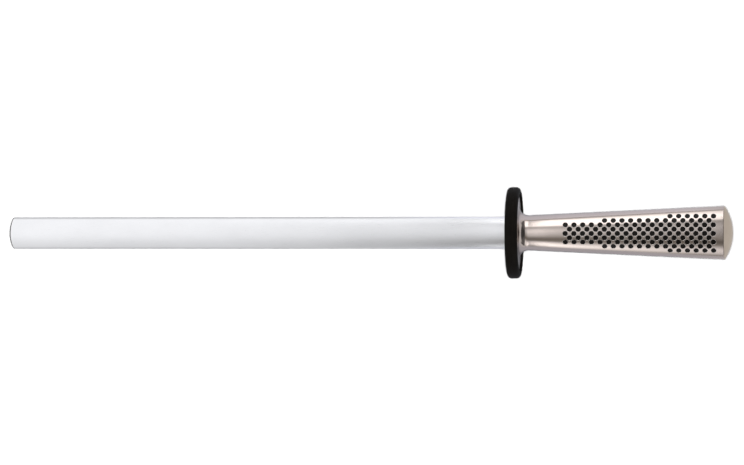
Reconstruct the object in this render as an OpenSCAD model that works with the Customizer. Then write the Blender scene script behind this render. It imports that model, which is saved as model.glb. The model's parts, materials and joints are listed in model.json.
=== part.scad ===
// Sharpening steel: an oval rod, a round guard with a rubber ring, and a hollow, ballasted steel handle.
// The tool's own axis is local X. The guard's front face is at x = 0, the tip at -X and the butt at +X, and the
// broad faces of the rod and the handle look up and down. Every piece is drawn there and then laid down in its
// resting pose, on the tip of the rod and the rim of the guard, with the ground at z = 0.

/* [Rod] */
// Length of rod in front of the guard
rod_len = 300; // [200:5:320]
// Width of the oval rod
rod_w = 19; // [17:0.5:20]
// Thickness of the oval rod
rod_t = 9.5; // [9:0.5:11]
// How far the rounded tip stands proud at its middle
tip_crown = 2.25; // [1.5:0.25:4]
// Rounding of the tip's two corners, seen from above
tip_corner_r = 2.5; // [1:0.5:3]

/* [Guard] */
// Outside diameter of the rubber ring
ring_d = 54.6; // [52:0.2:64]
// Width of the rubber ring along the tool
ring_w = 7.5; // [7.5:0.1:10]
// Rounding of the ring's outer edges
ring_edge_r = 2.25; // [1:0.25:2.5]
// How far the soft ring is flattened where it bears on the ground
ring_flat = 0.2; // [0.15:0.05:0.3]
// Diameter of the steel disc that shows inside the ring
disc_d = 46.2; // [44:0.2:47]
// How far the disc is set back inside the ring on the handle's side
disc_recess = 0.85; // [0:0.05:1]
// Radius of the fillet between the disc and the neck
neck_fillet_r = 6; // [3:0.25:6]

/* [Handle] */
// Diameter of the round neck, which is also the handle's thickness
neck_d = 20.8; // [20.8:0.1:22]
// Width of the handle at the butt
butt_w = 32; // [28:0.5:38]
// Distance from the guard's front face to the edge of the butt
butt_x = 129.6; // [129.3:0.3:144]
// Height of the domed butt cap
dome_h = 4.9; // [3:0.1:8]
// Wall thickness of the pressed halves
wall = 1.2; // [1:0.1:1.3]

/* [Grip dots] */
// Diameter of one dimple
dot_d = 3; // [2.2:0.1:3.1]
// Spacing of the dimples along a row
dot_pitch = 5.2; // [5.1:0.02:5.24]
// Spacing of the rows, measured in plan
row_pitch = 2.57; // [2.55:0.01:2.6]
// Depth of a dimple
dimple_depth = 0.4; // [0.35:0.05:0.5]
// Thickness of the enamel in a dimple
enamel_t = 0.2; // [0.15:0.05:0.25]

/* [Tang] */
// Diameter of the round tang and of its bore
tang_d = 9; // [8:0.5:10]
// Diameter of the cross pin
pin_d = 4; // [3:0.5:4]

/* [Hidden] */
$fn = 96;
loft_sides = 72;
far = 200;

// The oval rod and its tip
rod_a = rod_w / 2;
rod_b = rod_t / 2;
tip_r = (rod_a * rod_a + tip_crown * tip_crown) / (2 * tip_crown);
tip_drop = tip_r - sqrt(tip_r * tip_r - rod_b * rod_b);
tip_blank_r = rod_a + 0.3;
rod_rear_x = 5;
seal_t = 1;
seal_x0 = 0.6;
seal_x1 = 3;

// The disc: its faces are set back inside the ring, and a tongue round its edge holds the ring
ring_r = ring_d / 2;
disc_r = disc_d / 2;
disc_front_x = 1;
tongue_r = disc_r + 2.2;
tongue_x0 = 2.5;
tongue_x1 = ring_w - 2.5;
disc_rear_x = ring_w - disc_recess;

// The fillet touches the disc's rear face and the neck
neck_r = neck_d / 2;
fillet_cr = neck_r + neck_fillet_r;
fillet_x = disc_rear_x + neck_fillet_r;

// The handle starts where the fillet has run out. What fits inside the halves has a small gap to the wall.
shell_x = ceil(fillet_x * 2) / 2;
fit_gap = 0.05;
spigot_r = neck_r - wall - fit_gap;
spigot_len = 6;
socket_x0 = shell_x + spigot_len;
tang_end_x = 58;
socket_x1 = tang_end_x + 4;
pin_x = 45;
pin_len = 18;
cap_spigot_len = 2.5;
cap_overlap = 0.5;
dome_r = (butt_w * butt_w / 4 + dome_h * dome_h) / (2 * dome_h);

// The dimples: rows 0 to 4 counted out from the middle line. All the rows end together at the butt, alternate
// rows are half a pitch apart, and the outer rows start later, where the handle has become wide enough.
last_dot_x = 123.5;
row_dots = [18, 17, 18, 13, 6];

// The resting pose: the ground touches the lower edge of the rod's tip and the ring's rounded front edge, whose
// centre line is as high above the ground as the rounding that is left under it
bearing_r = ring_edge_r - ring_flat;
contact_dx = rod_len - tip_drop + ring_edge_r;
contact_dz = ring_r - ring_edge_r - rod_b;
rest_tilt = atan(contact_dz / contact_dx) + asin(bearing_r / norm([contact_dx, contact_dz]));
rest_z = bearing_r + (ring_r - ring_edge_r) * cos(rest_tilt) - ring_edge_r * sin(rest_tilt);
rest_x = (rod_len - butt_x - dome_h) * cos(rest_tilt) / 2;

// Half the handle's width at x: the taper is straight
function half_w(x) = neck_r + (butt_w / 2 - neck_r) * (x - shell_x) / (butt_x - shell_x);

// Height of the handle's surface, and its slope angle about X, at a place in plan
function surface_z(x, y) = neck_r * sqrt(1 - pow(y / half_w(x), 2));
function surface_tilt(x, y) = atan2(y * pow(neck_r / half_w(x), 2), surface_z(x, y));

// x of each dimple in a row
function dot_xs(row) = [
    for (i = [0:row_dots[row] - 1]) last_dot_x - (row % 2) * dot_pitch / 2 - i * dot_pitch
];

// Lays a piece down on the ground
module rest_pose() {
    translate([rest_x, 0, rest_z]) rotate([0, -rest_tilt, 0]) children();
}

// A solid of revolution about the tool's axis. The outline's x is the radius and its y the place along the tool.
module turned() {
    rotate([0, 90, 0]) rotate_extrude() children();
}

// A round bar along the tool from x0 to x1
module bar(d, x0, x1) {
    translate([x0, 0, 0]) rotate([0, 90, 0]) cylinder(d = d, h = x1 - x0);
}

// An oval bar, rod-shaped, grown by a margin
module oval_bar(margin, x0, x1) {
    translate([x0, 0, 0]) rotate([0, 90, 0]) linear_extrude(x1 - x0)
        scale([rod_b + margin, rod_a + margin]) circle(1);
}

// The handle's tapering form between x0 and x1, shrunk by inset: an oval at each end, joined by straight lines
module handle_form(inset, x0, x1) {
    n = loft_sides;
    rings = [
        for (x = [x0, x1]) for (i = [0:n - 1])
            [x, (half_w(x) - inset) * cos(360 * i / n), (neck_r - inset) * sin(360 * i / n)]
    ];
    sides = [
        for (i = [0:n - 1]) let (j = (i + 1) % n)
            each [[i, n + i, j], [j, n + i, n + j]]
    ];
    caps = [[for (i = [0:n - 1]) i], [for (i = [n - 1:-1:0]) n + i]];
    polyhedron(rings, concat(caps, sides));
}

// Puts a disc that looks along +Z at the bottom of every dimple of one face, depth below the surface
module at_dimples(depth) {
    for (row = [-4:4]) for (x = dot_xs(abs(row))) let (y = row * row_pitch)
        translate([x, y, surface_z(x, y)]) rotate([-surface_tilt(x, y), 0, 0])
            translate([0, 0, -depth]) children();
}

// One pressed half of the handle, the upper one
module handle_half() {
    difference() {
        handle_form(0, shell_x, butt_x);
        handle_form(wall, shell_x - 1, butt_x + 1);
        translate([-far, -far / 2, -far]) cube([2 * far, far, far]);
        at_dimples(dimple_depth) cylinder(d = dot_d, h = 2);
    }
}

// The enamel in the dimples of the upper half
module enamel_dots() {
    at_dimples(dimple_depth) cylinder(d = dot_d, h = enamel_t);
}

// The pin bore across the tang and its socket
module pin_bore() {
    translate([pin_x, 0, 0]) rotate([90, 0, 0]) cylinder(d = pin_d, h = far, center = true);
}

// Outline of the round blank that the rod's tip is cut from: a shallow dome with a rounded edge
module tip_outline() {
    intersection() {
        offset(r = tip_corner_r) offset(delta = -tip_corner_r) intersection() {
            union() {
                translate([0, tip_r - rod_len]) circle(tip_r);
                translate([-tip_r, tip_r - rod_len]) square([2 * tip_r, rod_len]);
            }
            translate([-tip_blank_r, -rod_len]) square([2 * tip_blank_r, rod_len + 2 * rod_rear_x]);
        }
        translate([0, -rod_len]) square([tip_r, rod_len + rod_rear_x + 1]);
    }
}

// Oval rod with a domed tip, and its round tang with the pin bore
module sharpening_rod() {
    color("gainsboro") rest_pose() difference() {
        union() {
            intersection() {
                oval_bar(0, -rod_len - 1, rod_rear_x);
                turned() tip_outline();
            }
            bar(tang_d, rod_rear_x - 1, tang_end_x);
        }
        pin_bore();
    }
}

// Oval seal round the rod where it enters the disc
module rod_seal() {
    color("dimgray") rest_pose() difference() {
        oval_bar(seal_t, seal_x0, seal_x1);
        oval_bar(0, seal_x0 - 1, seal_x1 + 1);
    }
}

// Outline of the flange: disc with its tongue, fillet, neck and the spigot inside the handle
module flange_outline() {
    difference() {
        polygon([
            [0, disc_front_x], [disc_r, disc_front_x],
            [disc_r, tongue_x0], [tongue_r, tongue_x0], [tongue_r, tongue_x1], [disc_r, tongue_x1],
            [disc_r, disc_rear_x], [fillet_cr, disc_rear_x], [fillet_cr, fillet_x], [neck_r, fillet_x],
            [neck_r, shell_x], [spigot_r, shell_x], [spigot_r, socket_x0], [0, socket_x0]
        ]);
        translate([fillet_cr, fillet_x]) circle(neck_fillet_r);
    }
}

// Steel flange, bored for the tang and pocketed for the rod and its seal
module guard_flange() {
    color("silver") rest_pose() difference() {
        turned() flange_outline();
        bar(tang_d, 0, far);
        oval_bar(0, 0, rod_rear_x);
        oval_bar(seal_t, 0, seal_x1);
    }
}

// Outline of the rubber ring: round outer edges, and a groove inside that takes the disc's tongue
module ring_outline() {
    difference() {
        union() {
            translate([disc_r, 0]) square([ring_r - ring_edge_r - disc_r, ring_w]);
            translate([disc_r, ring_edge_r]) square([ring_r - disc_r, ring_w - 2 * ring_edge_r]);
            for (x = [ring_edge_r, ring_w - ring_edge_r])
                translate([ring_r - ring_edge_r, x]) circle(ring_edge_r);
        }
        translate([disc_r - 1, tongue_x0]) square([tongue_r - disc_r + 1, tongue_x1 - tongue_x0]);
    }
}

// Rubber ring, flattened by the tool's weight where it lies on the ground
module guard_ring() {
    color([0.07, 0.065, 0.06]) difference() {
        rest_pose() turned() ring_outline();
        translate([-far, -far / 2, -far]) cube([2 * far, far, far]);
    }
}

// Plug in the neck that takes the tang and closes the ballast chamber
module tang_socket() {
    color("darkgray") rest_pose() difference() {
        handle_form(wall + fit_gap, socket_x0, socket_x1);
        bar(tang_d, socket_x0 - 1, tang_end_x);
        pin_bore();
    }
}

// Cross pin through the socket and the tang
module tang_pin() {
    color("slategray") rest_pose() translate([pin_x, 0, 0]) rotate([90, 0, 0])
        cylinder(d = pin_d, h = pin_len, center = true);
}

module handle_shell_upper() {
    color("silver") rest_pose() handle_half();
}

module handle_shell_lower() {
    color("silver") rest_pose() mirror([0, 0, 1]) handle_half();
}

module grip_dots_upper() {
    color([0.04, 0.035, 0.03]) rest_pose() enamel_dots();
}

module grip_dots_lower() {
    color([0.04, 0.035, 0.03]) rest_pose() mirror([0, 0, 1]) enamel_dots();
}

// Domed end with a spigot inside the halves. In plan the dome is an arc, and it is as thin as the handle.
module butt_cap() {
    color("tan") rest_pose() {
        scale([1, 1, neck_d / butt_w]) intersection() {
            translate([butt_x + dome_h - dome_r, 0, 0]) rotate(180) sphere(dome_r);
            translate([butt_x, -far / 2, -far / 2]) cube(far);
        }
        handle_form(wall + fit_gap, butt_x - cap_spigot_len, butt_x + cap_overlap);
    }
}

// Loose fill that balances the handle against the rod
module ballast_fill() {
    color("burlywood") rest_pose()
        handle_form(wall + fit_gap, socket_x1, butt_x - cap_spigot_len);
}

sharpening_rod();
rod_seal();
guard_flange();
guard_ring();
tang_socket();
tang_pin();
handle_shell_upper();
handle_shell_lower();
grip_dots_upper();
grip_dots_lower();
butt_cap();
ballast_fill();
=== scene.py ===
import json
import math

import bpy
from mathutils import Euler, Matrix, Vector
from mathutils.geometry import delaunay_2d_cdt


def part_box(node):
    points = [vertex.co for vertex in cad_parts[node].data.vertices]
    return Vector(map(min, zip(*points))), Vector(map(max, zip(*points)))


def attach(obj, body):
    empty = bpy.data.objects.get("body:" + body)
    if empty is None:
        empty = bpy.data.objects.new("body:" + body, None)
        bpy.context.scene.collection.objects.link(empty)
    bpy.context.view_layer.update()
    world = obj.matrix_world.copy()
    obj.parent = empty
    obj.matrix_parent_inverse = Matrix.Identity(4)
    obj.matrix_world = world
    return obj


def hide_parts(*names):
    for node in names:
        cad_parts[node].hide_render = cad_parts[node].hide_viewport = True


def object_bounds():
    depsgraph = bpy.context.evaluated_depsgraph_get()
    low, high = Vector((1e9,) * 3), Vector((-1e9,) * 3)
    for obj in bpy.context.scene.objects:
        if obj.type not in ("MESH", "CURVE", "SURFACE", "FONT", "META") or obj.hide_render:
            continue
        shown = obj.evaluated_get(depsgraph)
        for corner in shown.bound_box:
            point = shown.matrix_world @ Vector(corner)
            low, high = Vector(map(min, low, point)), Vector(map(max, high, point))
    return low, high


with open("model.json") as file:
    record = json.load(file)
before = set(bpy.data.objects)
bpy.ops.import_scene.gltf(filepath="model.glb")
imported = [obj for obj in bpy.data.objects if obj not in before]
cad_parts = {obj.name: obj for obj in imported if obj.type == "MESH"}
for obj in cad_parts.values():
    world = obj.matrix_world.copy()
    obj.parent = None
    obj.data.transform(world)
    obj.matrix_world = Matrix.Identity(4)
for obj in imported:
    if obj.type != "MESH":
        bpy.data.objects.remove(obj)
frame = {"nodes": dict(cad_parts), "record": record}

CAD_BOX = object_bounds()
MM = 0.001
MICRON = 0.000001

# ---------------------------------------------------------------- the tool's own frame
# X runs along the tool, with 0 at the guard's front face and the butt at +X. The rod's broad faces look
# along +-Z. All shapes below are written in it, in millimetres.


def mount(name):
    return next(m for m in frame["record"]["mounts"] if m["name"] == name)


def tool_matrix():
    """From the tool's own frame to the row's: the guard's seat gives the place and the direction."""
    seat = mount("guard_seat")
    along = -Vector(seat["axis"]).normalized()
    across = Vector((0, 1, 0))
    turn = Matrix((along, across, along.cross(across))).transposed().to_4x4()
    return Matrix.Translation((seat["pos_m"][0], 0, seat["pos_m"][2])) @ turn


def width_of(node):
    low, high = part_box(node)
    return (high[1] - low[1]) / MM


TOOL = tool_matrix()
TURN = TOOL.to_3x3()

# Rod: A and B are half its width and thickness. The tip is a low dome with rounded corners, cut from a blank
# that is a little wider than the rod.
ROD_LEN = 300
ROD_A = width_of("sharpening_rod") / 2
ROD_B = ROD_A / 2
ROD_REAR = 5
TIP_CROWN = 2.25
TIP_CORNER_R = 2.5
TIP_BLANK_R = ROD_A + 0.3
TIP_EDGE = 0.55  # width of the polished rounding along the tip
TIP_TRIM = 0.004  # keeps the tip inside the CAD box
TANG_R = 4.5
TANG_END = 58

# Guard: the disc stops short of both faces of the ring, and a tongue round it holds the ring
RING_R = width_of("guard_ring") / 2
RING_W = 7.5
RING_EDGE_R = 2.25
DISC_R = 23.1
DISC_FRONT = 1
DISC_REAR = 6.65
TONGUE = (2.5, 5)
TONGUE_R = DISC_R + 2.2
SEAL = (0.6, 3.0)
SEAL_T = 1  # thickness
NECK_SPIGOT = 6

# Handle: round at the neck, widening evenly to half width BUTT_A, and as thick as the neck all along
NECK_R = 10.4
FILLET_R = 6
SHELL_X0 = 13
BUTT_X = 129.6
BUTT_A = width_of("handle_shell_upper") / 2
DOME_H = 4.89
WALL = 1.2
SPIGOT_INSET = WALL + 0.05
BUTT_SPIGOT = 2.5
TAPER = (BUTT_A - NECK_R) / (BUTT_X - SHELL_X0)

# Rounding of the shells' edge at the butt: its radius, its turn, and how far in it brings the edge
END_R = 0.6
END_TURN = math.radians(32)
END_INSET = END_R * (1 - math.cos(END_TURN))

# Dimples: rows 0 to 4 counted out from the middle line
DOT_R = 1.5
RIM_R = 0.22
DOT_PITCH = 5.2
ROW_PITCH = 2.57
LAST_DOT_X = 123.5
ROW_DOTS = (18, 17, 18, 13, 6)
DIMPLE_DEPTH = 0.4

# Enamel: how far below the face it lies in the CAD, how much its middle sags, and its climb at the wall
ENAMEL_TOP = 0.2
ENAMEL_SAG = 0.03
ENAMEL_CLIMB = 0.05


# ---------------------------------------------------------------- mesh building
class Skin:
    """Faces whose corners carry the surface's own normals. Corners at one place share a vertex."""

    def __init__(self):
        self.index = {}
        self.points = []
        self.faces = []

    def corner(self, p, n):
        """The vertex at p, and the surface's normal there."""
        key = tuple(round(c, 4) for c in p)
        if key not in self.index:
            self.index[key] = len(self.points)
            self.points.append(Vector(p))
        return self.index[key], Vector(n).normalized()

    def facing(self, corners, n):
        """The same vertices with one other normal."""
        return [(i, n) for i, _ in corners]

    def face(self, corners, slot=0):
        """A face that looks the way of its normals. Corners that fall together count once."""
        kept = [c for i, c in enumerate(corners) if c[0] != corners[i - 1][0]]
        if len({c[0] for c in kept}) < 3:
            return
        a, b, c = (self.points[kept[i][0]] for i in range(3))
        out = sum((n for _, n in kept), Vector())
        if (b - a).cross(c - a).dot(out) < 0:
            kept.reverse()
        self.faces.append((kept, slot))

    def strip(self, row, other, slot=0, closed=False):
        """Faces between two rows of corners."""
        count = len(row)
        for i in range(count if closed else count - 1):
            j = (i + 1) % count
            self.face([row[i], row[j], other[j], other[i]], slot)

    def grid(self, rows, slot=0, closed=False):
        """Strips between rows of corners, each to the next."""
        for row, other in zip(rows, rows[1:]):
            self.strip(row, other, slot, closed)

    def build(self, name, *materials):
        """The object in the row's frame. What would reach below the ground is pressed flat on it."""
        placed = [TOOL @ (p * MM) for p in self.points]
        pressed = {i for i, p in enumerate(placed) if p.z < 0}
        for i in pressed:
            placed[i].z = 0
        down = Vector((0, 0, -1))
        mesh = bpy.data.meshes.new(name)
        mesh.from_pydata(placed, [], [[i for i, _ in f] for f, _ in self.faces])
        for m in materials:
            mesh.materials.append(m)
        for polygon, (_, slot) in zip(mesh.polygons, self.faces):
            polygon.use_smooth = True
            polygon.material_index = slot
        normals = [down if i in pressed else TURN @ n for f, _ in self.faces for i, n in f]
        mesh.normals_split_custom_set(normals)
        piece = bpy.data.objects.new(name, mesh)
        bpy.context.scene.collection.objects.link(piece)
        return piece


class HalfSkin(Skin):
    """Skin of one half of the handle. It is given the upper half, and side -1 mirrors that."""

    def __init__(self, side):
        super().__init__()
        self.side = side
        self.half = "upper" if side > 0 else "lower"

    def mirrored(self, v):
        return Vector((v.x, v.y, self.side * v.z))

    def corner(self, p, n):
        return super().corner(self.mirrored(p), self.mirrored(n))

    def facing(self, corners, n):
        return super().facing(corners, self.mirrored(n))


def add_piece(skin, name, slot, materials, *nodes):
    piece = skin.build(name, *materials)
    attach(piece, "root")
    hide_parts(*nodes)


def full_turn(count):
    """Angles of a full turn in equal steps."""
    return [2 * math.pi * i / count for i in range(count)]


def evenly(first, last, steps):
    """Values from first to last in equal steps."""
    return [first + (last - first) * i / steps for i in range(steps + 1)]


def line(p, q):
    """A straight stretch of an outline, (x, r) to (x, r), with its normal on the left."""
    dx, dr = q[0] - p[0], q[1] - p[1]
    n = Vector((-dr, dx)).normalized()
    return [(p, n), (q, n)]


def arc(centre, radius, start, stop, steps, sign=1):
    """A round stretch from start to stop degrees, 0 along +x. sign -1 is a hollow one."""
    out = []
    for angle in evenly(start, stop, steps):
        t = math.radians(angle)
        d = Vector((math.cos(t), math.sin(t)))
        out.append((tuple(Vector(centre) + radius * d), sign * d))
    return out


def revolve(skin, stretches, segments, slot=0):
    """Turns an outline about the tool's axis. Each stretch is smooth, and stretches meet at an edge."""
    turns = [(math.cos(t), math.sin(t)) for t in full_turn(segments)]
    for stretch in stretches:
        rows = [
            [skin.corner((x, r * c, r * s), (n[0], n[1] * c, n[1] * s)) for c, s in turns]
            for (x, r), n in stretch
        ]
        skin.grid(rows, slot, closed=True)


# ---------------------------------------------------------------- materials
def new_material(name):
    material = bpy.data.materials.new(name)
    material.use_nodes = True
    return material, material.node_tree, material.node_tree.nodes["Principled BSDF"]


def node(tree, kind, **settings):
    made = tree.nodes.new(kind)
    for key, value in settings.items():
        if key in made.inputs:
            made.inputs[key].default_value = value
        else:
            setattr(made, key, value)
    return made


def noise(tree, scale, stretch=(1, 1, 1), detail=4.0, roughness=0.6):
    """Noise in the tool's own frame, scale in features per metre."""
    place = node(tree, "ShaderNodeTexCoord")
    mapping = node(tree, "ShaderNodeMapping", vector_type="TEXTURE")
    mapping.inputs["Rotation"].default_value = TURN.to_euler()
    mapping.inputs["Scale"].default_value = [1 / share for share in stretch]
    tree.links.new(place.outputs["Object"], mapping.inputs["Vector"])
    texture = node(tree, "ShaderNodeTexNoise", Scale=scale, Detail=detail, Roughness=roughness)
    tree.links.new(mapping.outputs["Vector"], texture.inputs["Vector"])
    return texture.outputs["Fac"]


def spread(tree, source, low, high, start=0.3, stop=0.7):
    """Maps a value from start..stop to low..high."""
    ramp = node(tree, "ShaderNodeMapRange")
    for key, value in (("From Min", start), ("From Max", stop), ("To Min", low), ("To Max", high)):
        ramp.inputs[key].default_value = value
    tree.links.new(source, ramp.inputs["Value"])
    return ramp.outputs["Result"]


def two_tone(tree, source, dark, light, start=0.3, stop=0.7):
    ramp = node(tree, "ShaderNodeValToRGB")
    ramp.color_ramp.elements[0].position = start
    ramp.color_ramp.elements[0].color = (*dark, 1)
    ramp.color_ramp.elements[1].position = stop
    ramp.color_ramp.elements[1].color = (*light, 1)
    tree.links.new(source, ramp.inputs["Fac"])
    return ramp.outputs["Color"]


def bump(tree, source, distance, strength=1.0, under=None):
    made = node(tree, "ShaderNodeBump", Strength=strength, Distance=distance)
    tree.links.new(source, made.inputs["Height"])
    if under is not None:
        tree.links.new(under, made.inputs["Normal"])
    return made.outputs["Normal"]


def satin_steel(name, dark, light, rough, grain, brushed):
    """Satin steel: soft mottling, long fine brushing along the tool, and a fine blasted grain.

    rough is the range of roughness. grain and brushed are the heights of the two reliefs in microns.
    """
    material, tree, shader = new_material(name)
    shader.inputs["Metallic"].default_value = 1.0
    mottle = noise(tree, 55, (0.5, 1, 1))
    streaks = noise(tree, 5200, (0.02, 1, 1), detail=2.0)
    tree.links.new(two_tone(tree, mottle, dark, light), shader.inputs["Base Color"])
    tree.links.new(spread(tree, streaks, *rough), shader.inputs["Roughness"])
    fine = bump(tree, noise(tree, 9000, detail=2.0), grain * MICRON)
    tree.links.new(bump(tree, streaks, brushed * MICRON, under=fine), shader.inputs["Normal"])
    return material


def black_rubber(name):
    material, tree, shader = new_material(name)
    cloud = noise(tree, 120)
    colour = two_tone(tree, cloud, (0.004, 0.0034, 0.0028), (0.007, 0.006, 0.005))
    tree.links.new(colour, shader.inputs["Base Color"])
    tree.links.new(spread(tree, cloud, 0.5, 0.64), shader.inputs["Roughness"])
    shader.inputs["Specular IOR Level"].default_value = 0.03
    tree.links.new(bump(tree, noise(tree, 2600, detail=3.0), 30 * MICRON), shader.inputs["Normal"])
    return material


def black_enamel(name):
    material, tree, shader = new_material(name)
    cloud = noise(tree, 700)
    colour = two_tone(tree, cloud, (0.0022, 0.0018, 0.0014), (0.0045, 0.0036, 0.003))
    tree.links.new(colour, shader.inputs["Base Color"])
    tree.links.new(spread(tree, cloud, 0.22, 0.36), shader.inputs["Roughness"])
    shader.inputs["Specular IOR Level"].default_value = 0.12
    tree.links.new(bump(tree, noise(tree, 1500), 20 * MICRON), shader.inputs["Normal"])
    return material


def loose_sand(name):
    material, tree, shader = new_material(name)
    grains = noise(tree, 1800, detail=6.0)
    colour = two_tone(tree, grains, (0.36, 0.27, 0.17), (0.72, 0.6, 0.44))
    tree.links.new(colour, shader.inputs["Base Color"])
    tree.links.new(spread(tree, grains, 0.8, 0.95), shader.inputs["Roughness"])
    tree.links.new(bump(tree, grains, 300 * MICRON), shader.inputs["Normal"])
    return material


HANDLE_STEEL = satin_steel("handle_steel", (0.43, 0.376, 0.35), (0.47, 0.412, 0.384), (0.11, 0.17), 4, 2)
# Lighter steel for the dimples' rims and walls: a polished rim, made brighter still as a painted highlight
# round each dimple.
RIM_STEEL_AND_HIGHLIGHT = satin_steel("rim_steel_and_highlight", (0.60, 0.56, 0.54), (0.68, 0.64, 0.62), (0.16, 0.22), 2, 1)
CAP_STEEL = satin_steel("cap_steel", (0.47, 0.40, 0.33), (0.53, 0.455, 0.38), (0.34, 0.42), 12, 1)
ROD_STEEL = satin_steel("rod_steel", (0.81, 0.815, 0.84), (0.86, 0.865, 0.89), (0.27, 0.34), 10, 2)
# Much darker steel than the rod's, on the tip's dome and rounded edge.
TIP_STEEL = satin_steel("tip_steel", (0.20, 0.19, 0.19), (0.27, 0.26, 0.26), (0.2, 0.3), 1, 1)
SOCKET_ALLOY = satin_steel("socket_alloy", (0.58, 0.58, 0.59), (0.66, 0.66, 0.67), (0.3, 0.4), 10, 4)
PIN_STEEL = satin_steel("pin_steel", (0.46, 0.46, 0.47), (0.54, 0.54, 0.55), (0.2, 0.3), 4, 2)
RING_RUBBER = black_rubber("ring_rubber")
SEAL_RUBBER = black_rubber("seal_rubber")
ENAMEL = black_enamel("black_enamel")
SAND = loose_sand("ballast_sand")


# ---------------------------------------------------------------- the rod
def bezier(a, corner, b, u):
    """The place at share u of a curve from a to b that heads for the corner."""
    return (1 - u) ** 2 * a + 2 * u * (1 - u) * corner + u * u * b


def make_rod():
    """Oval bar with a domed tip whose edge is polished round, and the tang behind it."""
    skin = Skin()
    around, dome_rows, edge_rows = 128, 16, 6
    tip_r = (ROD_A**2 + TIP_CROWN**2) / (2 * TIP_CROWN)
    centre_x = tip_r - ROD_LEN + TIP_TRIM
    corner_y = TIP_BLANK_R - TIP_CORNER_R
    corner_x = centre_x - math.sqrt((tip_r - TIP_CORNER_R) ** 2 - corner_y**2)
    dome_y = corner_y * tip_r / (tip_r - TIP_CORNER_R)
    rows = {
        "dome": [[] for _ in range(dome_rows + 1)],
        "edge": [[] for _ in range(edge_rows + 1)],
        "side": [[], []],
    }
    for t in full_turn(around):
        out = Vector((0, ROD_A * math.cos(t), ROD_B * math.sin(t)))
        reach = out.length
        side_n = Vector((0, math.cos(t) / ROD_A, math.sin(t) / ROD_B)).normalized()

        def dome(k):
            """Point and normal of the tip at share k of the reach: a shallow dome with rounded corners."""
            radius = k * reach
            if radius < dome_y:
                middle, round_r, off = centre_x, tip_r, radius
            else:
                middle, round_r, off = corner_x, TIP_CORNER_R, radius - corner_y
            drop = math.sqrt(round_r**2 - off**2)
            return Vector((middle - drop, 0, 0)) + k * out, Vector((-drop, 0, 0)) + out * (off / reach)

        inner = 1 - TIP_EDGE / reach
        (corner, _), (start, start_n) = dome(1), dome(inner)
        start_n.normalize()
        stop = corner + Vector((TIP_EDGE, 0, 0))
        for row in range(dome_rows + 1):
            rows["dome"][row].append(skin.corner(*dome(inner * row / dome_rows)))
        for row in range(edge_rows + 1):
            u = row / edge_rows
            place = bezier(start, corner, stop, u)
            rows["edge"][row].append(skin.corner(place, start_n.lerp(side_n, u)))
        rows["side"][0].append(skin.corner(stop, side_n))
        rows["side"][1].append(skin.corner(Vector((ROD_REAR, 0, 0)) + out, side_n))
    for part, slot in (("dome", 1), ("edge", 1), ("side", 0)):
        skin.grid(rows[part], slot, closed=True)
    back = Vector((1, 0, 0))
    rim = skin.facing(rows["side"][1], back)
    root = [
        skin.corner((ROD_REAR, TANG_R * math.cos(t), TANG_R * math.sin(t)), back)
        for t in full_turn(around)
    ]
    skin.strip(rim, root, 0, closed=True)
    tang = [
        line((TANG_END, TANG_R), (ROD_REAR, TANG_R)),
        line((TANG_END, 0), (TANG_END, TANG_R)),
    ]
    revolve(skin, tang, around)
    add_piece(skin, "rod", "rod_steel", (ROD_STEEL, TIP_STEEL), "sharpening_rod")


# ---------------------------------------------------------------- the guard
def make_flange():
    """Disc with a fillet into the neck, and the spigot inside the handle."""
    skin = Skin()
    segments = 192
    fillet = arc((DISC_REAR + FILLET_R, NECK_R + FILLET_R), FILLET_R, 180, 270, 16, sign=-1)
    spigot_r = NECK_R - SPIGOT_INSET
    spigot_x = SHELL_X0 + NECK_SPIGOT
    outline = [
        line((DISC_FRONT, 0), (DISC_FRONT, DISC_R)),
        line((DISC_FRONT, DISC_R), (TONGUE[0], DISC_R)),
        line((TONGUE[0], DISC_R), (TONGUE[0], TONGUE_R)),
        line((TONGUE[0], TONGUE_R), (TONGUE[1], TONGUE_R)),
        line((TONGUE[1], TONGUE_R), (TONGUE[1], DISC_R)),
        line((TONGUE[1], DISC_R), (DISC_REAR, DISC_R)),
        line((DISC_REAR, DISC_R), fillet[0][0]),
        fillet,
        line(fillet[-1][0], (SHELL_X0, NECK_R)),
        line((SHELL_X0, NECK_R), (SHELL_X0, spigot_r)),
        line((SHELL_X0, spigot_r), (spigot_x, spigot_r)),
        line((spigot_x, spigot_r), (spigot_x, 0)),
    ]
    revolve(skin, outline, segments)
    add_piece(skin, "flange", "handle_steel", (HANDLE_STEEL,), "guard_flange")


def make_ring():
    """Rubber ring with round outer edges, a faint mould line, softened lips and the groove inside."""
    skin = Skin()
    segments = 256
    lip = 0.35
    far, near = RING_W - RING_EDGE_R, RING_EDGE_R
    middle, ridge, bead_r = RING_W / 2, 0.06, 0.15
    plain_r = RING_R - ridge
    rounding_r = plain_r - RING_EDGE_R
    outline = [
        line((0, DISC_R + lip), (0, rounding_r)),
        arc((near, rounding_r), RING_EDGE_R, 180, 90, 12),
        line((near, plain_r), (middle - bead_r, plain_r)),
        arc((middle, RING_R - bead_r), bead_r, 156, 24, 6),
        line((middle + bead_r, plain_r), (far, plain_r)),
        arc((far, rounding_r), RING_EDGE_R, 90, 0, 12),
        line((RING_W, rounding_r), (RING_W, DISC_R + lip)),
        arc((RING_W - lip, DISC_R + lip), lip, 0, -90, 5),
        line((RING_W - lip, DISC_R), (TONGUE[1], DISC_R)),
        line((TONGUE[1], DISC_R), (TONGUE[1], TONGUE_R)),
        line((TONGUE[1], TONGUE_R), (TONGUE[0], TONGUE_R)),
        line((TONGUE[0], TONGUE_R), (TONGUE[0], DISC_R)),
        line((TONGUE[0], DISC_R), (lip, DISC_R)),
        arc((lip, DISC_R + lip), lip, -90, -180, 5),
    ]
    revolve(skin, outline, segments)
    add_piece(skin, "ring", "ring_rubber", (RING_RUBBER,), "guard_ring")


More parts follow.
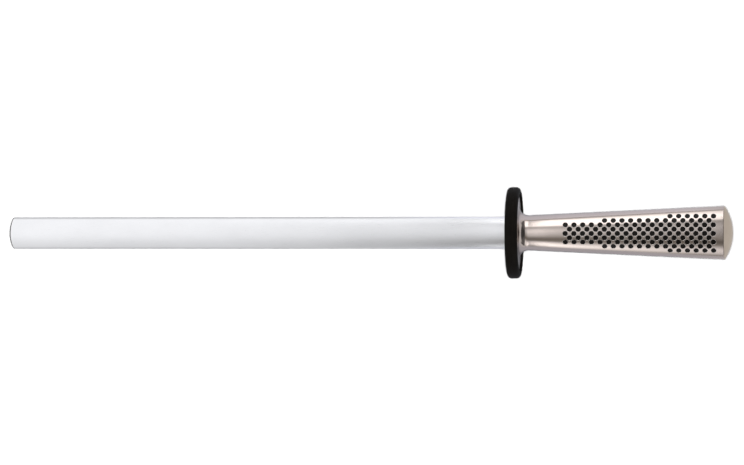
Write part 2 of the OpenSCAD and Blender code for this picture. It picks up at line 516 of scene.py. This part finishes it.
def make_seal():
    """Oval seal with a rounded lip, between the rod and the disc."""
    skin = Skin()
    around, steps = 96, 8
    half = SEAL_T / 2
    ahead = Vector((-1, 0, 0))
    rows = [[] for _ in range(steps + 3)]
    for t in full_turn(around):
        side = Vector((0, math.cos(t) / ROD_A, math.sin(t) / ROD_B)).normalized()
        foot = Vector((0, ROD_A * math.cos(t), ROD_B * math.sin(t)))
        rows[0].append(skin.corner(foot + Vector((SEAL[1], 0, 0)), -side))
        for row, a in zip(rows[1:], evenly(0, math.pi, steps)):
            n = -math.cos(a) * side + math.sin(a) * ahead
            place = foot + half * side + half * n + Vector((SEAL[0] + half, 0, 0))
            row.append(skin.corner(place, n))
        rows[-1].append(skin.corner(foot + SEAL_T * side + Vector((SEAL[1], 0, 0)), side))
    skin.grid(rows + rows[:1], closed=True)
    add_piece(skin, "seal", "seal_rubber", (SEAL_RUBBER,), "rod_seal")


# ---------------------------------------------------------------- the handle
def half_w(x):
    """Half the handle's width at x."""
    return NECK_R + TAPER * (x - SHELL_X0)


def on_handle(x, y):
    """Point and normal of the handle's upper face above a place in plan."""
    a = half_w(x)
    z = NECK_R * math.sqrt(max(0.0, 1 - (y / a) ** 2))
    return Vector((x, y, z)), Vector((-y * y * TAPER / a**3, y / a**2, z / NECK_R**2)).normalized()


def dimples():
    """Centre and tangent frame of each dimple of the upper face."""
    last = len(ROW_DOTS) - 1
    for row in range(-last, last + 1):
        side = abs(row)
        for i in range(ROW_DOTS[side]):
            x = LAST_DOT_X - (side % 2) * DOT_PITCH / 2 - i * DOT_PITCH
            centre, up = on_handle(x, row * ROW_PITCH)
            along = (Vector((1, 0, 0)) - up * up.x).normalized()
            yield centre, up, along, up.cross(along)


def ring_points(dimple, radius, height, count):
    """Points of a ring in a dimple, at a height above its middle, each with its direction outwards."""
    centre, up, along, across = dimple
    for t in full_turn(count):
        out = math.cos(t) * along + math.sin(t) * across
        yield centre + radius * out + height * up, out


# A pressed half is meshed in plan round the dimples on its crown, and as a plain grid on its flanks. The
# crown is this share of its width.
CROWN = 0.86
CROWN_ANGLE = math.acos(CROWN)
SHELL_END = BUTT_X - END_R * math.sin(END_TURN)
COLUMNS = evenly(SHELL_X0, SHELL_END, 96)
FLANK = evenly(0, CROWN_ANGLE, 14)
ACROSS = evenly(CROWN_ANGLE, math.pi - CROWN_ANGLE, 28)
DENT_R = DOT_R + RIM_R
DENT_SIDES = 36


def at_angle(x, t):
    """Point and normal of the handle's upper face at an angle up from its +Y side."""
    return on_handle(x, half_w(x) * math.cos(t))


def crown_border():
    """The crown's outline in plan."""
    border = [(x, CROWN * half_w(x)) for x in COLUMNS]
    border += [(SHELL_END, half_w(SHELL_END) * math.cos(t)) for t in ACROSS[1:]]
    border += [(x, -CROWN * half_w(x)) for x in reversed(COLUMNS[:-1])]
    border += [(SHELL_X0, half_w(SHELL_X0) * math.cos(t)) for t in reversed(ACROSS[1:-1])]
    return border


def plan_grid(step, dents):
    """Places inside the crown, about a step apart, that keep clear of the dimples."""
    clear = DENT_R + 0.3
    for i in range(1, int((SHELL_END - SHELL_X0) / step)):
        x = SHELL_X0 + i * step
        reach = CROWN * half_w(x) - 0.5 * step
        for y in evenly(-reach, reach, int(2 * reach / step)):
            if all((x - centre.x) ** 2 + (y - centre.y) ** 2 > clear**2 for centre, *_ in dents):
                yield x, y


def add_crown(skin):
    """The crown without its dimples."""
    step = 1.3
    dents = list(dimples())
    loops = [crown_border()]
    for dimple in dents:
        loops.append([(p.x, p.y) for p, _ in ring_points(dimple, DENT_R, 0, DENT_SIDES)])
    plan, edges = [], []
    for loop in loops:
        first, count = len(plan), len(loop)
        plan.extend(loop)
        edges.extend((first + i, first + (i + 1) % count) for i in range(count))
    plan.extend(plan_grid(step, dents))
    inside = DENT_R - 0.02

    def in_a_dent(p):
        return any(
            (p.x - centre.x) ** 2 + ((p.y - centre.y) / up.z) ** 2 < inside**2
            for centre, up, *_ in dents
        )

    points, _, triangles, _, _, _ = delaunay_2d_cdt([Vector(p) for p in plan], edges, [], 1, 1e-5)
    for triangle in triangles:
        middle = sum((points[i] for i in triangle), Vector((0, 0))) / 3
        if not in_a_dent(middle):
            skin.face([skin.corner(*on_handle(points[i].x, points[i].y)) for i in triangle])


def add_dent(skin, dimple):
    """A rounded rim, the wall and the floor of one dimple."""
    rim_steps = 5
    up = dimple[1]
    rows = [[skin.corner(*on_handle(p.x, p.y)) for p, _ in ring_points(dimple, DENT_R, 0, DENT_SIDES)]]
    for a in evenly(0, math.pi / 2, rim_steps)[1:]:
        radius, drop = DENT_R - RIM_R * math.sin(a), -RIM_R * (1 - math.cos(a))
        rows.append([
            skin.corner(p, math.cos(a) * up - math.sin(a) * out)
            for p, out in ring_points(dimple, radius, drop, DENT_SIDES)
        ])
    skin.grid(rows, 1, closed=True)
    floor = [skin.corner(p, -out) for p, out in ring_points(dimple, DOT_R, -DIMPLE_DEPTH, DENT_SIDES)]
    skin.strip(rows[-1], floor, 1, closed=True)
    skin.face(skin.facing(floor, up), 1)


def add_flanks(skin):
    """Both flanks, down to where the halves meet."""
    for sign in (1, -1):
        skin.grid([
            [skin.corner(*[Vector((v.x, sign * v.y, v.z)) for v in at_angle(x, t)]) for x in COLUMNS]
            for t in FLANK
        ])


def add_ends(skin):
    """The rounded edge at the butt, the end faces with the wall's thickness, and the lining."""
    end_steps = 6
    section = FLANK[:-1] + ACROSS + [math.pi - t for t in reversed(FLANK[:-1])]
    rows = []
    for a in evenly(0, END_TURN, end_steps):
        row = []
        for t in section:
            p, n = at_angle(SHELL_END, t)
            n = Vector((0, n.y, n.z)).normalized()
            p = p - END_R * (1 - math.cos(a)) * n + Vector((END_R * math.sin(a), 0, 0))
            row.append(skin.corner(p, n * math.cos(a) + Vector((math.sin(a), 0, 0))))
        rows.append(row)
    skin.grid(rows)

    def inner(x, t):
        return Vector((x, (half_w(x) - WALL) * math.cos(t), (NECK_R - WALL) * math.sin(t)))

    back, ahead = Vector((1, 0, 0)), Vector((-1, 0, 0))
    neck_row = [skin.corner(at_angle(SHELL_X0, t)[0], ahead) for t in section]
    for x, n, row in ((BUTT_X, back, rows[-1]), (SHELL_X0, ahead, neck_row)):
        skin.strip(skin.facing(row, n), [skin.corner(inner(x, t), n) for t in section])
    skin.grid([
        [skin.corner(inner(x, t), -Vector((0, math.cos(t), math.sin(t)))) for t in section]
        for x in (SHELL_X0, BUTT_X)
    ])


def make_shell(side):
    """One pressed half, side 1 for the upper and -1 for the lower."""
    skin = HalfSkin(side)
    add_crown(skin)
    for dimple in dimples():
        add_dent(skin, dimple)
    add_flanks(skin)
    add_ends(skin)
    # The second steel, on each dimple's rim and wall, carries the painted highlight round the rim.
    steels = (HANDLE_STEEL, RIM_STEEL_AND_HIGHLIGHT)
    add_piece(skin, "shell_" + skin.half, "handle_steel", steels, "handle_shell_" + skin.half)


def make_enamel(side):
    """The black enamel in the dimples of one half: a pool that climbs a little at its wall."""
    skin = HalfSkin(side)
    sides = 24
    shares = (0.15, 0.5, 0.8, 0.95, 1.0)
    for dimple in dimples():
        up = dimple[1]
        rows = []
        for share in shares:
            height = -ENAMEL_TOP - ENAMEL_SAG + ENAMEL_CLIMB * share**4
            slope = 4 * ENAMEL_CLIMB * share**3 / DOT_R
            rows.append([
                skin.corner(p, up - slope * out)
                for p, out in ring_points(dimple, share * DOT_R, height, sides)
            ])
        skin.face(skin.facing(rows[0], up))
        skin.grid(rows, closed=True)
        foot = [skin.corner(p, out) for p, out in ring_points(dimple, DOT_R, -DIMPLE_DEPTH, sides)]
        wall = [(i, out) for (i, _), (_, out) in zip(rows[-1], foot)]
        skin.strip(wall, foot, closed=True)
        skin.face(skin.facing(foot, -up))
    add_piece(skin, "enamel_" + skin.half, "black_enamel", (ENAMEL,), "grip_dots_" + skin.half)


def make_cap():
    """The domed butt: an arc in plan, squeezed to the handle's thickness, with its spigot."""
    skin = Skin()
    around, dome_rows = 192, 14
    squeeze = NECK_R / BUTT_A
    dome_r = (BUTT_A**2 + DOME_H**2) / (2 * DOME_H)
    centre_x = BUTT_X + DOME_H - dome_r
    edge_a = BUTT_A - END_INSET
    rows = []
    for reach in evenly(0, edge_a, dome_rows):
        x = centre_x + math.sqrt(dome_r**2 - reach**2)
        row = []
        for t in full_turn(around):
            y, z = reach * math.cos(t), squeeze * reach * math.sin(t)
            row.append(skin.corner((x, y, z), (x - centre_x, y, z / squeeze**2)))
        rows.append(row)
    skin.grid(rows, closed=True)

    def ring(x, inset):
        a, b = BUTT_A - inset, NECK_R - inset
        return [Vector((x, a * math.cos(t), b * math.sin(t))) for t in full_turn(around)]

    def corners(places, normals):
        return [skin.corner(p, n) for p, n in zip(places, normals)]

    rim = ring(BUTT_X, END_INSET)
    foot = ring(BUTT_X, SPIGOT_INSET)
    end = ring(BUTT_X - BUTT_SPIGOT, SPIGOT_INSET)
    ahead = [Vector((-1, 0, 0))] * around
    out = [Vector((0, p.y, p.z)).normalized() for p in rim]
    edge = [(i, n) for (i, _), n in zip(rows[-1], out)]
    skin.strip(edge, corners(rim, out), closed=True)
    skin.strip(corners(rim, ahead), corners(foot, ahead), closed=True)
    skin.strip(corners(foot, out), corners(end, out), closed=True)
    skin.face(corners(end, ahead))
    add_piece(skin, "cap", "cap_steel", (CAP_STEEL,), "butt_cap")


def dress_hidden_nodes():
    """The pieces inside the handle keep their CAD shapes."""
    for name, material in (("tang_socket", SOCKET_ALLOY), ("tang_pin", PIN_STEEL), ("ballast_fill", SAND)):
        mesh = frame["nodes"][name].data
        mesh.materials.clear()
        mesh.materials.append(material)


# ---------------------------------------------------------------- the studio
# Degrees that the view leans from straight overhead: to +Y, to the butt's side, and round its own line
CAMERA_LEAN = 2.5
CAMERA_PITCH = 1.5
CAMERA_ROLL = -0.281
CAMERA_DISTANCE = 5.5
FRAME_WIDTH = 0.44487
# From the middle of the tool's box to the middle of the picture, and the height at which it is taken
FRAME_SHIFT = (0.00121, 0.00025)
AIM_HEIGHT = 0.021


def overhead_turn(roll=0):
    """The turn of something that looks down on the tool along the camera's line."""
    return Euler((math.radians(-CAMERA_LEAN), math.radians(CAMERA_PITCH), math.radians(roll)))


def make_camera():
    """From far above, a little to +Y and to the butt's side, with the tool in the middle of the picture."""
    low, high = CAD_BOX
    middle = (Vector(low) + Vector(high)) / 2
    data = bpy.data.cameras.new("camera")
    data.sensor_width = 36
    data.lens = data.sensor_width * CAMERA_DISTANCE / FRAME_WIDTH
    data.clip_end = 50
    camera = bpy.data.objects.new("camera", data)
    turn = overhead_turn(CAMERA_ROLL)
    aim = Vector((middle.x + FRAME_SHIFT[0], middle.y + FRAME_SHIFT[1], AIM_HEIGHT))
    camera.location = aim + turn.to_matrix() @ Vector((0, 0, CAMERA_DISTANCE))
    camera.rotation_euler = turn
    bpy.context.scene.collection.objects.link(camera)
    bpy.context.scene.camera = camera


def make_floor():
    """A pale matt floor."""
    half = 1.5
    mesh = bpy.data.meshes.new("floor")
    corners = [(-half, -half, 0), (half, -half, 0), (half, half, 0), (-half, half, 0)]
    mesh.from_pydata(corners, [], [(0, 1, 2, 3)])
    material, tree, shader = new_material("floor")
    colour = two_tone(tree, noise(tree, 3), (0.90, 0.90, 0.90), (0.92, 0.92, 0.92))
    tree.links.new(colour, shader.inputs["Base Color"])
    shader.inputs["Roughness"].default_value = 0.9
    shader.inputs["Specular IOR Level"].default_value = 0.0
    mesh.materials.append(material)
    floor = bpy.data.objects.new("floor", mesh)
    bpy.context.scene.collection.objects.link(floor)


# Brightness of the light tunnel, by the angle from overhead in degrees (+ towards +Y), at places along the
# tool in metres: by the rod's tip, three times by its end at the guard, twice by the neck, and by the butt.
TUNNEL = (
    (-0.295, (
        (-100, 0.78), (-88, 0.8), (-45, 0.86), (-20, 1.0), (-10, 1.08), (100, 1.1),
    )),
    (-0.056, (
        (-100, 0.45), (-70, 0.44), (-42, 0.45), (-25, 0.54), (-15, 0.65), (0, 0.75), (18, 0.82), (36, 0.95),
        (55, 1.15), (100, 1.1),
    )),
    # At these two places by the guard the light is dimmed: painted shade of the guard on the rod's end.
    (-0.04, (
        (-100, 0.1), (-85, 0), (-60, 0), (-50, 0.06), (-40, 0.3), (-25, 0.52), (-15, 0.63), (0, 0.74),
        (18, 0.72), (30, 0.5), (42, 0.12), (75, 0.12), (90, 0.5), (100, 0.8),
    )),
    (-0.0145, (
        (-100, 0.1), (-85, 0), (-60, 0), (-50, 0.05), (-40, 0.22), (-25, 0.4), (-15, 0.55), (0, 0.66),
        (18, 0.62), (30, 0.4), (42, 0.1), (75, 0.1), (90, 0.5), (100, 0.8),
    )),
    (-0.0085, (
        (-100, 0.6), (-91, 1.4), (-84, 2.8), (-74, 3.5), (-64, 3.3), (-57, 2.3), (-50, 1.1), (-45, 0.45),
        (-38, 0.3), (-31, 0.46), (-24, 0.9), (-14, 1.55), (-4, 2.05), (10, 2.5), (20, 2.5), (27, 1.8),
        (34, 1.1), (41, 2.0), (46, 3.7), (74, 3.8), (82, 3.3), (88, 1.2), (94, 0.5), (100, 0.9),
    )),
    (0.005, (
        (-100, 1.1), (-92, 1.6), (-84, 2.1), (-75, 2.3), (-67, 1.8), (-59, 1.2), (-53, 0.62), (-48, 0.33),
        (-34, 0.28), (-26, 0.44), (-18, 0.66), (-8, 0.88), (2, 1.04), (12, 1.28), (22, 1.06), (32, 0.9),
        (38, 0.95), (43, 2.3), (47, 2.9), (72, 2.9), (80, 2.3), (86, 1.2), (91, 0.6), (100, 0.4),
    )),
    (0.1, (
        (-100, 0.3), (-91, 0.6), (-84, 0.92), (-77, 1.2), (-69, 1.38), (-60, 1.55), (-53, 1.36),
        (-47, 0.98), (-42, 0.62), (-38, 0.4), (-33, 0.3), (-28, 0.22), (-24, 0.28), (-20, 0.42),
        (-10, 0.6), (2, 0.82), (12, 1.02), (20, 1.06), (28, 0.86), (34, 0.66), (38, 0.72), (41, 1.3),
        (45, 2.4), (50, 2.7), (64, 2.8), (71, 2.4), (79, 2.1), (86, 1.7), (92, 0.7), (100, 0.4),
    )),
)
TUNNEL_TOP = 3.8
TUNNEL_R = 0.25
TUNNEL_ENDS = (-0.5, 0.118)
TUNNEL_REACH = 100
# Between places that are further apart than this, the light changes late, by this power of the way
LONG_WAY = 0.2
LATE = 2.1
# By the handle, from this place on, light dimmer than this level turns browner by up to this share
BROWN_FROM = -0.01
BROWN_BELOW = 0.8
DIM_BROWN = 0.28

# Brightness of the glowing sheet on the floor beside the tool, by y in metres. Only the metal sees it: a
# painted floor reflection, with painted shade on the -Y side and a painted shadow of the tool down its
# middle.
FLOOR_REFLECTION_AND_SHADOW = (
    (-0.26, 0.8), (-0.09, 0.76), (-0.05, 0.72), (-0.032, 0.6), (-0.024, 0.22), (0.0, 0.22), (0.024, 0.5),
    (0.032, 0.88), (0.05, 0.98), (0.09, 1.08), (0.16, 1.2), (0.26, 1.2),
)
FLOOR_REFLECTION_TINT = (0.98, 0.99, 1.08)
FLOOR_REFLECTION_FAR = 0.9
FLOOR_REFLECTION_LIFT = 0.0008
# Beside the rod and beyond the butt the sheet has one level: x where it begins, x where it is reached, level
FLOOR_REFLECTION_ENDS = ((0.05, 0.0, 0.62), (0.18, 0.24, 0.88))

# Brightness of the upright board far behind the butt, by its height in metres
END_BOARD = ((0, 0.88), (0.06, 0.92), (0.15, 1.1), (0.18, 0.24), (0.25, 0.18), (0.3, 0.08), (1.2, 0.06))
END_BOARD_X = 0.55
END_BOARD_HALF = 0.3


def light_ramp(tree, source, reach, stops, tint=(1, 1, 1), brown=0):
    """Light as a share of the top level, for a source value from -reach to reach.

    brown is the share of blue that the dimmest light loses. It loses 0.4 of that share in green.
    """
    ramp = node(tree, "ShaderNodeValToRGB")
    made = ramp.color_ramp.elements
    while len(made) < len(stops):
        made.new(0.5)
    for stop, (place, level) in zip(made, stops):
        stop.position = (place + reach) / (2 * reach)
        dim = brown * max(0, 1 - level / BROWN_BELOW)
        losses = (0, 0.4 * dim, dim)
        stop.color = (*[level / TUNNEL_TOP * shade * (1 - loss) for shade, loss in zip(tint, losses)], 1)
    tree.links.new(source, ramp.inputs["Fac"])
    return ramp.outputs["Color"]


def remap(tree, source, low, high):
    """Maps low..high to 0..1."""
    return spread(tree, source, 0, 1, low, high)


def blend(tree, share, first, second):
    """The first colour where share is 0, the second where it is 1. Each is an output or a grey level."""
    mix = node(tree, "ShaderNodeMix", data_type="RGBA")
    tree.links.new(share, mix.inputs[0])
    # 6, 7 and the output 2 are the node's colour sockets
    for socket, colour in ((mix.inputs[6], first), (mix.inputs[7], second)):
        if isinstance(colour, float):
            socket.default_value = (colour, colour, colour, 1)
        else:
            tree.links.new(colour, socket)
    return mix.outputs[2]


def glowing_sheet(name, points, faces, colour_of):
    """A lit sheet that only the metal sees. colour_of(tree, x, y, z) gives its light."""
    mesh = bpy.data.meshes.new(name)
    mesh.from_pydata(points, [], faces)
    material = bpy.data.materials.new(name)
    material.use_nodes = True
    tree = material.node_tree
    tree.nodes.clear()
    split = node(tree, "ShaderNodeSeparateXYZ")
    tree.links.new(node(tree, "ShaderNodeTexCoord").outputs["Object"], split.inputs["Vector"])
    glow = node(tree, "ShaderNodeEmission", Strength=TUNNEL_TOP)
    tree.links.new(colour_of(tree, *split.outputs), glow.inputs["Color"])
    tree.links.new(glow.outputs[0], node(tree, "ShaderNodeOutputMaterial").inputs["Surface"])
    mesh.materials.append(material)
    sheet = bpy.data.objects.new(name, mesh)
    for seen_by in ("camera", "diffuse", "transmission", "volume_scatter", "shadow"):
        setattr(sheet, "visible_" + seen_by, False)
    bpy.context.scene.collection.objects.link(sheet)
    return sheet


def tunnel_colour(tree, x, y, z):
    """Light by the angle round the tool, blended from place to place along it."""
    angle = node(tree, "ShaderNodeMath", operation="ARCTAN2")
    tree.links.new(y, angle.inputs[0])
    tree.links.new(z, angle.inputs[1])
    reach = math.radians(TUNNEL_REACH)
    share = remap(tree, angle.outputs[0], -reach, reach)
    colour, last = None, None
    for place, stops in TUNNEL:
        light = light_ramp(tree, share, TUNNEL_REACH, stops, brown=DIM_BROWN if place > BROWN_FROM else 0)
        if colour is not None:
            along = remap(tree, x, last, place)
            if place - last > LONG_WAY:
                bend = node(tree, "ShaderNodeMath", operation="POWER")
                tree.links.new(along, bend.inputs[0])
                bend.inputs[1].default_value = LATE
                along = bend.outputs[0]
            light = blend(tree, along, colour, light)
        colour, last = light, place
    return colour


def make_tunnel():
    """A light tunnel round the tool, as used for photographs of shiny things."""
    steps = 72
    angles = [math.radians(a) for a in evenly(-TUNNEL_REACH, TUNNEL_REACH, steps)]
    points = [(x, TUNNEL_R * math.sin(a), TUNNEL_R * math.cos(a)) for x in TUNNEL_ENDS for a in angles]
    faces = [(i, i + 1, steps + 2 + i, steps + 1 + i) for i in range(steps)]
    glowing_sheet("tunnel", points, faces, tunnel_colour).matrix_world = TOOL


def painted_floor_reflection_colour(tree, x, y, z):
    """Painted floor reflection by the way across the sheet, with its painted shadow of the tool, blended
    into one level at its ends.
    """
    half = FLOOR_REFLECTION_AND_SHADOW[-1][0]
    colour = light_ramp(tree, remap(tree, y, -half, half), half, FLOOR_REFLECTION_AND_SHADOW, tint=FLOOR_REFLECTION_TINT)
    for begins, reached, level in FLOOR_REFLECTION_ENDS:
        colour = blend(tree, remap(tree, x, begins, reached), colour, level / TUNNEL_TOP)
    return colour


def make_painted_floor_reflection():
    """A glowing sheet on the floor on both sides of the tool: a painted reflection of the floor in the
    metal, with a painted shadow of the tool.
    """
    half = FLOOR_REFLECTION_AND_SHADOW[-1][0]
    plan = ((-FLOOR_REFLECTION_FAR, -half), (FLOOR_REFLECTION_FAR, -half), (FLOOR_REFLECTION_FAR, half), (-FLOOR_REFLECTION_FAR, half))
    glowing_sheet("painted_floor_reflection", [(x, y, FLOOR_REFLECTION_LIFT) for x, y in plan], [(0, 1, 2, 3)], painted_floor_reflection_colour)


def end_colour(tree, x, y, z):
    """Light by the height."""
    reach = END_BOARD[-1][0]
    return light_ramp(tree, remap(tree, z, -reach, reach), reach, END_BOARD)


def make_end_board():
    """An upright board far behind the butt."""
    half, top = END_BOARD_HALF, END_BOARD[-1][0]
    outline = ((-half, 0), (half, 0), (half, top), (-half, top))
    glowing_sheet("end_board", [(END_BOARD_X, y, z) for y, z in outline], [(0, 1, 2, 3)], end_colour)


def make_world():
    """Faint even light from all sides."""
    world = bpy.data.worlds.new("studio")
    bpy.context.scene.world = world
    world.use_nodes = True
    background = world.node_tree.nodes["Background"]
    background.inputs["Color"].default_value = (1, 1, 1, 1)
    background.inputs["Strength"].default_value = 0.2


def make_lamp():
    """A lamp high overhead, in line with the camera, that lights the floor and isn't seen in the metal."""
    distance = 5.0
    data = bpy.data.lights.new("overhead", "AREA")
    data.shape = "DISK"
    data.size = 0.3
    data.energy = 260
    lamp = bpy.data.objects.new("overhead", data)
    lamp.rotation_euler = overhead_turn()
    lamp.location = overhead_turn().to_matrix() @ Vector((0, 0, distance))
    lamp.visible_camera = False
    lamp.visible_glossy = False
    bpy.context.scene.collection.objects.link(lamp)


make_camera()
make_floor()
make_world()
make_tunnel()
make_painted_floor_reflection()
make_end_board()
make_lamp()
bpy.context.scene.view_settings.view_transform = "Standard"

make_rod()
make_flange()
make_ring()
make_seal()
for face_side in (1, -1):
    make_shell(face_side)
    make_enamel(face_side)
make_cap()
dress_hidden_nodes()
